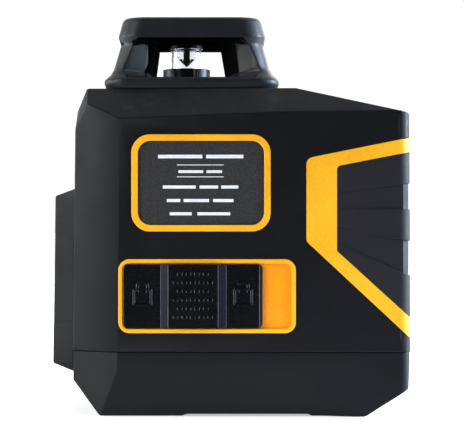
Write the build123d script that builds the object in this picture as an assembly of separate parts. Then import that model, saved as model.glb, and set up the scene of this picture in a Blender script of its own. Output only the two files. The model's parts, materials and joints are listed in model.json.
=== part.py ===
from build123d import *

import math
import os

# Rotating laser level: one vertical line and one 360 degree horizontal line, on a
# magnetically damped pendulum. Millimetres. +Z is up, -X is the side that the vertical line
# leaves by, -Y carries the lock switch, and z = 0 is the plane that the foot pads stand on.

# ---- housing -------------------------------------------------------------------------------
HALF_Y = 36.0  # side faces
TOP_Z = 110.1  # flat top
PARTING_Z = 21.6  # joint line between upper and base shell
BASE_STEP = 0.25  # how far the base shell sits inside the upper shell
WALL = 2.4
REAR_X = 59.7
REAR_TOP_X, REAR_TOP_Z = 59.3, 101.3  # end of the sloped keypad face
SLOPE_START_X = 21.5
FRONT_LOW_X, FRONT_LOW_Z = -53.8, 12.0
FRONT_HIGH_X, FRONT_HIGH_Z = -52.85, 96.0
CORNER_X, CORNER_Y = -38.3, 29.0  # ends of the chamfers on the front vertical corners
REAR_CORNER_R = 4.0
RECESS_Z = 0.75  # height of the relieved strip between the foot lands

# ---- head cage -----------------------------------------------------------------------------
CAGE_X = -13.8
CAGE_CORNER_R = 7.7
# height, half width along X, half width along Y
CAGE_SECTIONS = (
    (110.1, 29.2, 26.6),
    (112.0, 29.9, 27.2),
    (113.2, 29.9, 27.2),
    (115.1, 27.9, 26.1),
    (117.2, 26.75, 25.4),
    (125.6, 24.4, 23.9),
    (128.4, 25.25, 24.6),
    (133.9, 23.8, 23.3),
    (134.8, 23.0, 22.6),
)
# half widths of a window at four heights: at the face, behind the sills, and at the inner ends
WINDOW_HEIGHTS = ((114.0, 116.5, 125.0, 127.7), (114.6, 116.2, 126.0, 127.7), (114.5, 115.6, 126.4, 127.7))
SIDE_WINDOW = ((21.6, 23.6, 21.2, 17.6), (15.2, 16.2, 15.0, 13.0), (11.5, 11.7, 10.6, 10.3))
SIDE_DEPTHS = (31.0, 24.4, 19.8, 8.5)  # distances of those outlines from the cage's middle
END_WINDOW = ((16.6, 18.2, 16.3, 13.6), (12.8, 13.8, 12.6, 10.8), (9.4, 9.8, 9.2, 8.6))
END_DEPTHS = (34.0, 26.0, 20.6, 11.0)
CAVITY_X, CAVITY_R, CAVITY_TOP = -15.1, 14.5, 127.7  # free round space that the lens sways in
CEILING_R, CEILING_DEEP = 9.6, 0.9

# ---- pendulum and gimbal -------------------------------------------------------------------
AXIS_X = -16.1  # plumb axis
PIVOT_Z = 92.0
PIN_R, BEARING_BORE_R, BEARING_R = 1.45, 1.5, 3.0
BEARING_LONG = 2.5
RING_IN, RING_OUT, RING_HIGH = 13.0, 17.0, 8.0
COLLAR_R, COLLAR_TOP = 8.35, 118.7
TUBE_R, TUBE_WALL, TUBE_TOP = 5.5, 0.9, 126.0
CONE_R, CONE_TIP_Z, CONE_SHOULDER_Z = 3.45, 119.6, 123.2
BARREL_R = 6.0
LINE_Z = 56.0  # height of the vertical line's laser
LENS_X = AXIS_X - 24
BARREL_TOP = 112.0
BALANCE_THICK = 4.8  # puts the pendulum's centre of mass on the plumb axis
DISC_Z, DISC_R = (38.0, 40.0), 15.0
SEAT_SPHERE_R = 58.0  # underside of the brake seat, centred on the pivot
BRAKE_GAP = 0.3

# ---- lock switch ---------------------------------------------------------------------------
LOCK_TRAVEL = 9.0
BRAKE_TRAVEL = 2.5
LOCK_X0, LOCK_X1, LOCK_Z0, LOCK_Z1 = -37.75, 21.25, 27.95, 52.55
LOCK_BORDER, LOCK_R, LOCK_INNER_R = 1.45, 3.7, 2.0
THUMB_X0, THUMB_X1, THUMB_Z0, THUMB_Z1 = -36.05, 10.2, 29.7, 50.8
ICON_CLOSED_X, ICON_OPEN_X = -29.7, 3.7

# ---- facets --------------------------------------------------------------------------------
NOSE_X, NOSE_Z = -52.5, 102.0  # upper end of the lower nose facet
TOP_FRONT_X = -49.2  # front end of the flat top
SHOULDER_Y, SHOULDER_Z = 28.4, 101.6  # ends of the chamfer between side and top
FADE_X, FADE_Z = 51.0, 102.95  # where the shoulder chamfer dies out on the sloped face
BROW = ((-47.5, 31.8, 106.4), (-52.8, 29, 95.9), (-49.3, 25, 109.9))  # small front corner facet
LAND_Z = 0.15  # the foot lands stay just above the pads
FRONT_TOE_X, REAR_TOE_X = -44.2, 44.2  # ends of the foot lands
REAR_CHAMFER_X, REAR_CHAMFER_Z = 58.9, 9.2
FLANK_Z, FLANK_Y = 16.7, 33.2  # facet along the foot of each side
FLANK_END = ((17, 36, 17), (41, 36, 0), (29.5, 33.2, 0))
SLOPE_DEG = math.degrees(math.atan2(TOP_Z - REAR_TOP_Z, REAR_TOP_X - SLOPE_START_X))
FAR = 80.0  # reaches past the object from anywhere in it

# ---- inlays of the rear --------------------------------------------------------------------
INLAY, TRIM_PROUD, GRIP_PROUD, GROOVE_DEEP = 1.0, 0.2, 0.05, 0.7

# ---- front window --------------------------------------------------------------------------
WINDOW_HALF, WINDOW_Z = 9.0, (24.0, 68.0)
BEZEL_TOP_X, BEZEL_LOW_X = -60.05, -60.9
BEZEL_Z, BEZEL_OPEN_Z = (14.3, 76.3), (20.5, 70.5)
BEZEL_LIP = 2.6  # height of the sloped top and bottom ends
BEZEL_BEVEL = 4.4
BEZEL_ROOT_X, BEZEL_ROOT_Y, BEZEL_FRONT_Y = -52.0, 27.6, 23.8
GLASS_X, GLASS_Y, GLASS_Z = (-55.6, -54.1), (-12.5, 12.5), (19.0, 72.0)

# ---- lock and brake ------------------------------------------------------------------------
LOCK_WALL_Y, LOCK_POCKET_Y, TRAY_FLOOR_Y = 31.7, 34.2, 35.3
FRAME_PROUD = 0.5
SLOT_X, SLOT_Z = (-18.0, 0.0), (35.6, 44.4)
NECK_X, NECK_Z = (-17.6, -9.6), (36.0, 44.0)
THUMB_BACK_Y, THUMB_PAD_Y, THUMB_RAISED_Y = 35.6, 37.0, 37.9
CARRIAGE_Y = (29.2, 31.4)
SLIDER_SCREWS = ((-13.6, 38.5), (-13.6, 41.5))
SLIDER_SCREW_R = 0.95
ICON_Z, ICON_PROUD, DASH_PROUD = 37.1, 0.3, 0.25
RAMP_Z, RAMP_GAP = 11.0, 0.1  # ramp height below the plunger, and its play
PLUNGER_R, PAD_FOOT_Z = 5.0, 30.5
YOKE_Z, YOKE_THICK, YOKE_R = 25.5, 2.0, 17.0
MAGNET_R, MAGNET_LONG, MAGNET_RING_R = 4.0, 5.0, 11.7

# ---- label ---------------------------------------------------------------------------------
LABEL_X, LABEL_Z, LABEL_R, LABEL_INNER_R = (-33.45, 12.85), (61.75, 94.05), 6.2, 4.3
LABEL_DEEP, LABEL_BORDER, LABEL_PLATE_DEEP = 0.9, 2.15, 0.25

# ---- keypad, measured along the sloped face ------------------------------------------------
KEYPAD_X, KEYPAD_Y, KEYPAD_THICK = (-12.0, 12.0), (-21.0, 21.0), 1.2
KEY_YS, KEY_X, KEY_HALF = (-13.0, 0.0, 13.0), (-6.0, 3.0), 4.2
HOLE_X, HOLE_HALF = (-6.3, 3.3), 4.5
LAMP_X, LAMP_Y, LAMP_R = 8.0, 0.0, 1.5

# ---- electronics ---------------------------------------------------------------------------
BOARD_Y, BOARD_THICK = 29.6, 1.6
BOARD_X, BOARD_Z = (-36.0, 12.0), (32.0, 84.0)
BOARD_POSTS = [(x, z) for x in (-33, 9) for z in (35, 81)]
SOCKET_X, SOCKET_Z = -24.0, 66.0
FLAP_POCKET_HALF_X, FLAP_POCKET_HALF_Z, FLAP_POCKET_DEEP = 7.5, 5.5, 1.4
FLAP_PROUD, FLAP_GAP = 1.0, 0.3
CELL_R, CELL_Z, CELL_X, CELL_YS = 9.1, (31.0, 96.0), 42.0, (-9.7, 9.7)

# ---- small hardware ------------------------------------------------------------------------
INSERT_X, INSERT_TOP = 4.7, 11.0
PAD_X, PAD_Y, PAD_THICK = ((-35.5, -20.0), (28.6, 36.0)), (11.0, 26.0), 1.4
CAGE_SCREWS = [(CAGE_X + x, y) for x in (-19, 19) for y in (-21.5, 21.5)]
BRACKET_SCREWS = [(AXIS_X + x, y) for x in (-23.5, 23.5) for y in (-12, 12)]
BASE_SCREWS = [(x, y) for x in (-40, 40) for y in (-28, 28)]
BOSS_R, HEAD_SPACE_R, HEAD_R, HEAD_TOP_Z = 4.0, 2.8, 2.6, 3.0
THREAD_R, THREAD_LONG = 3.175, 9.0  # 1/4"-20 tripod thread, nominal radius
INSERT_R = 6.5
SCREW_R, SCREW_HEAD_R = 1.2, 2.2

os.makedirs("parts", exist_ok=True)


def save(name, shape):
    export_step(shape, f"parts/{name}.step")


def block(x0, x1, y0, y1, z0, z1):
    centre = Pos((x0 + x1) / 2, (y0 + y1) / 2, (z0 + z1) / 2)
    return centre * Box(x1 - x0, y1 - y0, z1 - z0)


def rod_z(radius, x, y, z0, z1):
    return Pos(x, y, (z0 + z1) / 2) * Cylinder(radius, z1 - z0)


def rod_x(radius, x0, x1, y, z):
    return Pos((x0 + x1) / 2, y, z) * Rot(0, 90, 0) * Cylinder(radius, x1 - x0)


def rod_y(radius, x, y0, y1, z):
    return Pos(x, (y0 + y1) / 2, z) * Rot(90, 0, 0) * Cylinder(radius, y1 - y0)


def side_prism(points, y0, y1):
    """Prism whose outline is drawn in the XZ plane."""
    face = make_face(Polyline(*[(x, y0, z) for x, z in points], close=True))
    return extrude(face, amount=y1 - y0, dir=(0, 1, 0))


def plan_prism(points, z0, z1):
    face = make_face(Polyline(*[(x, y, z0) for x, y in points], close=True))
    return extrude(face, amount=z1 - z0, dir=(0, 0, 1))


def side_plate(x0, x1, z0, z1, radius, y0, y1):
    """Plate with rounded corners, lying in the XZ plane."""
    plate = block(x0, x1, y0, y1, z0, z1)
    return fillet(plate.edges().filter_by(Axis.Y), radius)


def plan_plate(x0, x1, y0, y1, z0, z1, radius):
    plate = block(x0, x1, y0, y1, z0, z1)
    return fillet(plate.edges().filter_by(Axis.Z), radius)


def mirrored(points):
    return tuple((x, -y, z) for x, y, z in points)


def facet_plane(points, inset):
    """Plane through three points, moved inwards, that faces away from the housing's middle."""
    first, second, third = (Vector(*point) for point in points)
    normal = (second - first).cross(third - first).normalized()
    if normal.dot(first - Vector(0, 0, 60)) < 0:
        normal = -normal
    return Plane(origin=first - normal * inset, z_dir=normal)


def trim(shape, points, inset):
    """Keeps what lies inside the plane through three points."""
    return split(shape, bisect_by=facet_plane(points, inset), keep=Keep.BOTTOM)


def beyond(shape, points, inset):
    return split(shape, bisect_by=facet_plane(points, inset), keep=Keep.TOP)


def housing_form(inset, z0, z1):
    """The faceted outside of the housing between two heights, moved inwards by inset."""
    shape = block(-FAR, FAR, -HALF_Y + inset, HALF_Y - inset, z0, z1)
    centred = (
        ((FRONT_LOW_X, 0, FRONT_LOW_Z), (FRONT_HIGH_X, 0, FRONT_HIGH_Z)),
        ((FRONT_HIGH_X, 0, FRONT_HIGH_Z), (NOSE_X, 0, NOSE_Z)),
        ((NOSE_X, 0, NOSE_Z), (TOP_FRONT_X, 0, TOP_Z)),
        ((TOP_FRONT_X, 0, TOP_Z), (SLOPE_START_X, 0, TOP_Z)),
        ((SLOPE_START_X, 0, TOP_Z), (REAR_TOP_X, 0, REAR_TOP_Z)),
        ((REAR_X, 0, PARTING_Z), (REAR_TOP_X, 0, REAR_TOP_Z)),
    )
    for first, second in centred:
        shape = trim(shape, (first, second, (first[0], HALF_Y, first[2])), inset)
    handed = (
        ((FRONT_LOW_X, CORNER_Y, FRONT_LOW_Z), (CORNER_X, HALF_Y, FRONT_LOW_Z),
         (FRONT_HIGH_X, CORNER_Y, FRONT_HIGH_Z)),
        ((0, HALF_Y, SHOULDER_Z), (FAR, HALF_Y, SHOULDER_Z), (0, SHOULDER_Y, TOP_Z)),
        ((17.6, HALF_Y, SHOULDER_Z), (FADE_X, HALF_Y, FADE_Z), (SLOPE_START_X, SHOULDER_Y, TOP_Z)),
        BROW,
    )
    for facet in handed:
        shape = trim(shape, facet, inset)
        shape = trim(shape, mirrored(facet), inset)
    rear_edges = [
        edge
        for edge in shape.edges()
        if edge.center().X > REAR_TOP_X - inset - 1
        and abs(edge.center().Y) > HALF_Y - inset - 1
        and abs(edge.tangent_at(0.5).Z) > 0.9
    ]
    return fillet(rear_edges, max(REAR_CORNER_R - inset, 0.5))


def base_form(inset, z1):
    shape = housing_form(BASE_STEP + inset, -5, z1)
    centred = (
        ((0, 0, LAND_Z), (FAR, 0, LAND_Z)),
        ((FRONT_LOW_X, 0, FRONT_LOW_Z), (FRONT_TOE_X, 0, 0)),
        ((REAR_CHAMFER_X, 0, REAR_CHAMFER_Z), (REAR_TOE_X, 0, 0)),
        ((REAR_X - BASE_STEP, 0, PARTING_Z), (REAR_CHAMFER_X, 0, REAR_CHAMFER_Z)),
    )
    for first, second in centred:
        shape = trim(shape, (first, second, (first[0], HALF_Y, first[2])), inset)
    flank = ((0, HALF_Y, FLANK_Z), (FAR, HALF_Y, FLANK_Z), (0, FLANK_Y, 0))
    cutter = beyond(block(-FAR, FAR, 20, 45, -10, 30), flank, inset)
    cutter = beyond(cutter, FLANK_END, inset)
    return shape - cutter - mirror(cutter, about=Plane.XZ)


def round_corner(prism, x, z, radius):
    """Rounds the edge of a side prism that runs along Y through (x, z)."""
    edges = [
        edge
        for edge in prism.edges().filter_by(Axis.Y)
        if math.hypot(edge.center().X - x, edge.center().Z - z) < 0.01
    ]
    return fillet(edges, radius)


def along_slope(shape):
    """Moves a shape from the XY plane onto the middle of the sloped keypad face."""
    middle_x = (SLOPE_START_X + REAR_TOP_X) / 2
    middle_z = (TOP_Z + REAR_TOP_Z) / 2
    return Pos(middle_x, 0, middle_z) * Rot(0, SLOPE_DEG, 0) * shape


def around_socket(half_x, half_z, y0, y1):
    return block(SOCKET_X - half_x, SOCKET_X + half_x, y0, y1, SOCKET_Z - half_z, SOCKET_Z + half_z)


def around(shape, angles, x=AXIS_X):
    """Copies of a shape turned about the vertical through (x, 0)."""
    return [Pos(x, 0, 0) * Rot(0, 0, angle) * Pos(-x, 0, 0) * shape for angle in angles]


# ---- head cage -----------------------------------------------------------------------------
def rounded_section(height, half_x, half_y):
    plane = Plane.XY.offset(height)
    return plane * Pos(CAGE_X, 0) * RectangleRounded(2 * half_x, 2 * half_y, CAGE_CORNER_R)


def window_cutter(angle, half_widths, depths):
    """Octagonal funnel from outside the cage, on the side at this angle, down to the lens well."""
    turn = math.radians(angle)
    outward = Vector(math.cos(turn), math.sin(turn), 0)
    aside = Vector(-math.sin(turn), math.cos(turn), 0)
    stations = ((0, 0, CAGE_X), (0, 1, CAGE_X), (1, 2, CAGE_X), (2, 3, CAVITY_X))
    faces = []
    for outline, depth, middle_x in stations:
        middle = Vector(middle_x, 0, 0) + outward * depths[depth]
        corners = list(zip(half_widths[outline], WINDOW_HEIGHTS[outline]))
        loop = [middle - aside * half + Vector(0, 0, z) for half, z in corners]
        loop += [middle + aside * half + Vector(0, 0, z) for half, z in reversed(corners)]
        faces.append(make_face(Polyline(*loop, close=True)))
    return loft(faces, ruled=True)


def make_head_cage():
    frame = loft([rounded_section(*row) for row in CAGE_SECTIONS], ruled=True)
    for angle in (90, 270):
        frame -= window_cutter(angle, SIDE_WINDOW, SIDE_DEPTHS)
    for angle in (0, 180):
        frame -= window_cutter(angle, END_WINDOW, END_DEPTHS)
    frame -= rod_z(CAVITY_R, CAVITY_X, 0, TOP_Z - 1, CAVITY_TOP)
    frame -= rod_z(CEILING_R, CAVITY_X, 0, CAVITY_TOP - 1, CAVITY_TOP + CEILING_DEEP)
    for x, y in CAGE_SCREWS:
        frame -= rod_z(SCREW_R, x, y, TOP_Z - 1, TOP_Z + 3)
    return frame


# ---- shells --------------------------------------------------------------------------------
def trim_outline():
    """Outside and inside prisms of the chevron that wraps round the rear corners."""
    outer = side_prism(
        (
            (24.75, 86.1), (55.9, 92.35), (59, 92.85), (FAR, 92.85),
            (FAR, 26.55), (59, 26.55), (24.75, 58.45),
        ),
        -FAR, FAR,
    )
    outer = round_corner(outer, 24.75, 86.1, 2.5)
    outer = round_corner(outer, 24.75, 58.45, 2.0)
    inner = side_prism(
        (
            (34.9, 83.5), (56.5, 87.7), (59, 88.2), (FAR, 88.2),
            (FAR, 33.3), (59, 33.3), (34.9, 55.3),
        ),
        -FAR, FAR,
    )
    inner = round_corner(inner, 34.9, 83.5, 1.5)
    inner = round_corner(inner, 34.9, 55.3, 1.0)
    return outer, inner


def make_rear_pieces():
    outer, inner = trim_outline()
    core = housing_form(INLAY, PARTING_Z, TOP_Z)
    band = (housing_form(-TRIM_PROUD, PARTING_Z, TOP_Z) & (outer - inner)) - core
    pad = (housing_form(-GRIP_PROUD, PARTING_Z, TOP_Z) & inner) - core
    grooves = (
        side_prism(((35.3, 74.5), (57.5, 77.7), (75, 77.9), (75, 69.1), (35.3, 69.1)), -40, 40),
        side_prism(
            ((35.3, 62.9), (59, 58.6), (75, 58.6), (75, 47.1), (59, 47.1), (55.9, 48.4), (35.9, 57.6)),
            -40, 40,
        ),
    )
    half = (
        (30, 36.2), (57, HALF_Y - GROOVE_DEEP), (REAR_TOP_X - GROOVE_DEEP + 0.3, 33.3),
    )
    outline = half + tuple((x, -y) for x, y in reversed(half))
    floor_of_groove = plan_prism(outline, PARTING_Z, TOP_Z)
    for groove in grooves:
        pad -= groove - floor_of_groove
    return band, pad, outer - core


def make_upper_housing(inlay_space):
    shell = housing_form(0, PARTING_Z, TOP_Z + 5)
    cavity = housing_form(WALL, PARTING_Z - 5, TOP_Z + 5)
    shell -= cavity
    inside = housing_form(WALL / 2, PARTING_Z, TOP_Z + 5)
    # thicker wall behind the lock tray
    shell += block(-40, 24, -HALF_Y + WALL - 0.5, -LOCK_WALL_Y, 25, 55)
    for x, y in BASE_SCREWS:
        boss = rod_z(BOSS_R, x, y, PARTING_Z, 36)
        boss += block(x - 1.5, x + 1.5, min(y, 1.22 * y), max(y, 1.22 * y), PARTING_Z, 36)
        shell += boss & inside
    for x, z in BOARD_POSTS:
        shell += rod_y(2, x, BOARD_Y + BOARD_THICK, HALF_Y - WALL + 0.5, z)
    shell -= inlay_space
    # pockets and slots of the -Y side
    shell -= side_plate(LOCK_X0, LOCK_X1, LOCK_Z0, LOCK_Z1, LOCK_R, -HALF_Y - 1, -LOCK_POCKET_Y)
    shell -= block(*SLOT_X, -HALF_Y, -LOCK_WALL_Y + 1, *SLOT_Z)
    shell -= side_plate(*LABEL_X, *LABEL_Z, LABEL_R, -HALF_Y - 1, -HALF_Y + LABEL_DEEP)
    # roof opening for the lens, and screw holes
    shell -= rod_z(CAVITY_R, CAVITY_X, 0, TOP_Z - 8, TOP_Z + 1)
    for x, y in CAGE_SCREWS:
        shell -= rod_z(SCREW_R, x, y, TOP_Z - 8, TOP_Z + 1)
    for x, y in BRACKET_SCREWS:
        shell -= rod_z(SCREW_R, x, y, TOP_Z - 8, TOP_Z - 0.6)
    for x, y in BASE_SCREWS:
        shell -= rod_z(SCREW_R, x, y, PARTING_Z - 1, 32)
    # front window opening and keypad pocket
    shell -= block(-60, -45, -WINDOW_HALF, WINDOW_HALF, *WINDOW_Z)
    shell -= along_slope(block(*KEYPAD_X, *KEYPAD_Y, -KEYPAD_THICK, 9))
    for y in KEY_YS:
        shell -= along_slope(block(*HOLE_X, y - HOLE_HALF, y + HOLE_HALF, -9, 9))
    shell -= along_slope(rod_z(LAMP_R, LAMP_X, LAMP_Y, -9, 9))
    # charging socket
    shell -= around_socket(FLAP_POCKET_HALF_X, FLAP_POCKET_HALF_Z, HALF_Y - FLAP_POCKET_DEEP, HALF_Y + 1)
    shell -= around_socket(4.7, 1.9, HALF_Y - 6, HALF_Y + 1)
    return shell


def make_base_housing():
    shell = base_form(0, PARTING_Z) - base_form(WALL, PARTING_Z + 5)
    inside = base_form(WALL / 2, PARTING_Z)
    for x, y in BASE_SCREWS:
        shell += rod_z(BOSS_R, x, y, 0, PARTING_Z) & inside
    shell += rod_z(INSERT_R + 2.5, INSERT_X, 0, WALL / 2, INSERT_TOP)
    shell -= rod_z(INSERT_R, INSERT_X, 0, -1, INSERT_TOP + 1)
    relief = ((-17.8, -1), (-17.4, 0), (-15, RECESS_Z), (25.4, RECESS_Z), (26.8, 0), (27.2, -1))
    shell -= side_prism(relief, -50, 50)
    for x, y in BASE_SCREWS:
        shell -= rod_z(SCREW_R, x, y, -1, PARTING_Z + 1)
        shell -= rod_z(HEAD_SPACE_R, x, y, -1, HEAD_TOP_Z)
    for pad in make_pads():
        shell -= pad
    return shell


def make_pads():
    pads = []
    for x0, x1 in PAD_X:
        for side in (-1, 1):
            y0, y1 = sorted((side * PAD_Y[0], side * PAD_Y[1]))
            pads.append(plan_plate(x0, x1, y0, y1, 0, PAD_THICK, 1.5))
    return pads


def make_front_bezel():
    low_z, high_z = BEZEL_Z
    outline = (
        (BEZEL_ROOT_X, -BEZEL_ROOT_Y), (BEZEL_LOW_X, -BEZEL_FRONT_Y),
        (BEZEL_LOW_X, BEZEL_FRONT_Y), (BEZEL_ROOT_X, BEZEL_ROOT_Y),
    )
    profile = (
        (BEZEL_ROOT_X, low_z), (FRONT_LOW_X, low_z), (BEZEL_LOW_X, low_z + BEZEL_LIP),
        (BEZEL_TOP_X, high_z - BEZEL_LIP), (FRONT_HIGH_X, high_z), (BEZEL_ROOT_X, high_z),
    )
    shape = plan_prism(outline, low_z, high_z) & side_prism(profile, -HALF_Y, HALF_Y)
    # bevels along the top and bottom of each side
    for end_z, inward in ((low_z, 1), (high_z, -1)):
        bevel = (
            (FRONT_LOW_X, BEZEL_ROOT_Y - 2, end_z),
            (FRONT_LOW_X, BEZEL_ROOT_Y - 0.6, end_z + inward * BEZEL_BEVEL),
            (BEZEL_LOW_X, BEZEL_FRONT_Y, end_z + inward * (BEZEL_BEVEL - 0.6)),
        )
        shape = trim(shape, bevel, 0)
        shape = trim(shape, mirrored(bevel), 0)
    # shallow waist across both sides
    waist = side_prism(((-50, 32.2), (-63, 29.6), (-63, 61.8), (-50, 58.0)), -HALF_Y, HALF_Y)
    narrow = 0.6
    slim_outline = (
        (BEZEL_ROOT_X, -BEZEL_ROOT_Y + narrow), (BEZEL_LOW_X, -BEZEL_FRONT_Y + narrow),
        (BEZEL_LOW_X, BEZEL_FRONT_Y - narrow), (BEZEL_ROOT_X, BEZEL_ROOT_Y - narrow),
    )
    shape -= waist - plan_prism(slim_outline, low_z, high_z)
    shape -= housing_form(0, 0, TOP_Z)
    margin = 1.5
    shape -= block(-FAR, GLASS_X[0], -WINDOW_HALF - margin, WINDOW_HALF + margin, *BEZEL_OPEN_Z)
    shape -= block(*GLASS_X, *GLASS_Y, *GLASS_Z)
    shape -= block(GLASS_X[1] - 1, BEZEL_ROOT_X, -WINDOW_HALF, WINDOW_HALF, *WINDOW_Z)
    return shape


# ---- lock ----------------------------------------------------------------------------------
def padlock(x, z, y0, y1, closed):
    """Padlock sign: a body with a shackle, open on one side when not closed."""
    body = side_plate(x - 3.15, x + 3.15, z, z + 5.9, 0.7, y0, y1)
    hoop = side_plate(x - 2.1, x + 2.1, z + 4, z + 8.3, 2.0, y0, y1)
    hoop -= side_plate(x - 1.3, x + 1.3, z + 3, z + 7.5, 1.2, y0 - 1, y1 + 1)
    if not closed:
        hoop -= block(x - 3, x - 1, y0 - 1, y1 + 1, z + 5.9, z + 7.2)
    return body - side_plate(x - 2.5, x + 2.5, z + 0.65, z + 5.25, 0.4, y0 - 1, y1 + 1) + hoop


def make_lock_frame():
    tray = side_plate(LOCK_X0, LOCK_X1, LOCK_Z0, LOCK_Z1, LOCK_R, -HALF_Y - FRAME_PROUD, -LOCK_POCKET_Y)
    hollow = side_plate(
        LOCK_X0 + LOCK_BORDER, LOCK_X1 - LOCK_BORDER, LOCK_Z0 + LOCK_BORDER, LOCK_Z1 - LOCK_BORDER,
        LOCK_INNER_R, -HALF_Y - 2, -TRAY_FLOOR_Y,
    )
    tray = tray - hollow - block(*SLOT_X, -HALF_Y, -LOCK_POCKET_Y + 1, *SLOT_Z)
    rim = tray.edges().group_by(Axis.Y)[0]
    return fillet(rim, 0.3)


def make_lock_slider():
    low = -THUMB_PAD_Y
    outline = (
        (THUMB_X0, -THUMB_BACK_Y), (THUMB_X0, low), (-23.7, low), (-21.2, -THUMB_RAISED_Y),
        (-4.6, -THUMB_RAISED_Y), (-1.9, low), (9.1, low), (THUMB_X1, low + 0.9),
        (THUMB_X1, -THUMB_BACK_Y),
    )
    thumb = plan_prism(outline, THUMB_Z0, THUMB_Z1)
    ends = [e for e in thumb.edges().filter_by(Axis.Y) if abs(e.center().Z - 40) > 9]
    thumb = fillet(ends, 1.6)
    for row in range(6):
        z = 33.3 + 2.86 * row
        columns = (-18.7, -15.8, -13.0, -10.1, -7.2) if row % 2 == 0 else (-17.3, -14.4, -11.6, -8.7)
        for x in columns:
            dash = block(x - 0.8, x + 0.8, -DASH_PROUD, 0, z - 0.45, z + 0.45)
            thumb += Pos(0, -THUMB_RAISED_Y, 0) * dash
    for x, closed in ((ICON_CLOSED_X, True), (ICON_OPEN_X, False)):
        thumb += padlock(x, ICON_Z, low - ICON_PROUD, low, closed)
    neck = block(*NECK_X, -THUMB_BACK_Y, -CARRIAGE_Y[1], *NECK_Z)
    return thumb + neck


def make_carriage():
    low, high = CARRIAGE_Y
    plate = block(-26, 2, -high, -low, 29, 50) + block(-30, -8, -high, -low, 8, 29)
    ledge = side_prism(
        ((-30, 5.5), (-11.6, 5.5), (-11.6, ramp_height(-11.6)), (-30, ramp_height(-30))),
        -low, -24,
    )
    plate += ledge
    for x, z in SLIDER_SCREWS:
        plate -= rod_y(SLIDER_SCREW_R, x, -high - 1, -low + 1, z)
    return plate


def ramp_height(x):
    return RAMP_Z + (x - AXIS_X) * BRAKE_TRAVEL / LOCK_TRAVEL


def make_brake_plunger():
    plunger = rod_z(PLUNGER_R, AXIS_X, 0, 12, PAD_FOOT_Z)
    left, right = AXIS_X - 4, AXIS_X + 4
    low_left, low_right = ramp_height(left) + RAMP_GAP, ramp_height(right) + RAMP_GAP
    arm = side_prism(((left, low_left), (right, low_right), (right, 16), (left, 16)), -28.5, 0)
    return plunger + arm


def make_brake_guide():
    tower = rod_z(8, AXIS_X, 0, WALL + 0.4, YOKE_Z) - rod_z(PLUNGER_R + 0.05, AXIS_X, 0, 0, YOKE_Z + 1)
    return tower - block(AXIS_X - 4.4, AXIS_X + 4.4, -9, 0, 6.5, 16.6)


# ---- gimbal and pendulum -------------------------------------------------------------------
def make_gimbal_bracket():
    under_roof = TOP_Z - WALL
    plate = plan_plate(AXIS_X - 27, AXIS_X + 27, -18.6, 18.6, under_roof - 3, under_roof, 3)
    plate -= rod_z(15.6, AXIS_X, 0, under_roof - 4, under_roof + 1)
    for side in (-1, 1):
        x0, x1 = sorted((AXIS_X + side * 19, AXIS_X + side * 23))
        plate += block(x0, x1, -6, 6, 86, under_roof - 2.5)
    plate -= rod_x(BEARING_R, AXIS_X - 30, AXIS_X + 30, 0, PIVOT_Z)
    for x, y in BRACKET_SCREWS:
        plate -= rod_z(SCREW_R, x, y, under_roof - 4, under_roof + 1)
    return plate


def bearing_along_x(x):
    half = BEARING_LONG / 2
    return rod_x(BEARING_R, x - half, x + half, 0, PIVOT_Z) - rod_x(
        BEARING_BORE_R, x - 5, x + 5, 0, PIVOT_Z
    )


def bearing_along_y(y):
    half = BEARING_LONG / 2
    return rod_y(BEARING_R, AXIS_X, y - half, y + half, PIVOT_Z) - rod_y(
        BEARING_BORE_R, AXIS_X, y - 5, y + 5, PIVOT_Z
    )


def make_gimbal_ring():
    z0, z1 = PIVOT_Z - RING_HIGH / 2, PIVOT_Z + RING_HIGH / 2
    ring = plan_plate(AXIS_X - RING_OUT, AXIS_X + RING_OUT, -RING_OUT, RING_OUT, z0, z1, 4)
    ring -= plan_plate(AXIS_X - RING_IN, AXIS_X + RING_IN, -RING_IN, RING_IN, z0 - 1, z1 + 1, 2)
    ring -= rod_x(PIN_R, AXIS_X - 20, AXIS_X + 20, 0, PIVOT_Z)
    return ring - rod_y(BEARING_R, AXIS_X, -20, 20, PIVOT_Z)


def make_pendulum_frame():
    hub = block(AXIS_X - 9, AXIS_X + 9, -9, 9, 84, 98)
    body = block(AXIS_X - 12, AXIS_X + 12, -11, 11, 44, 85)
    body = fillet(body.edges().filter_by(Axis.Z), 2.5)
    frame = hub + body + rod_z(5, AXIS_X, 0, DISC_Z[1], 45)
    frame -= rod_z(BARREL_R, AXIS_X, 0, 80, 99)
    frame -= rod_x(BARREL_R, AXIS_X - 20, AXIS_X + 20, 0, LINE_Z)
    frame -= block(AXIS_X - 7, AXIS_X + 7, -20, 20, 66, 77)
    return frame - rod_y(PIN_R, AXIS_X, -20, 20, PIVOT_Z)


def make_collar():
    collar = rod_z(COLLAR_R, AXIS_X, 0, 108, COLLAR_TOP)
    collar -= rod_z(BARREL_R, AXIS_X, 0, 107, BARREL_TOP)
    collar -= rod_z(2.5, AXIS_X, 0, 107, COLLAR_TOP + 1)
    notch = block(AXIS_X + COLLAR_R - 1, AXIS_X + COLLAR_R + 1, -0.7, 0.7, 111, COLLAR_TOP + 1)
    for slot in around(notch, [25 + 45 * step for step in range(8)]):
        collar -= slot
    return collar


def make_cone_mirror():
    cone = Pos(AXIS_X, 0, (CONE_TIP_Z + CONE_SHOULDER_Z) / 2) * Cone(
        0.02, CONE_R, CONE_SHOULDER_Z - CONE_TIP_Z
    )
    return cone + rod_z(CONE_R, AXIS_X, 0, CONE_SHOULDER_Z, TUBE_TOP)


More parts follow.
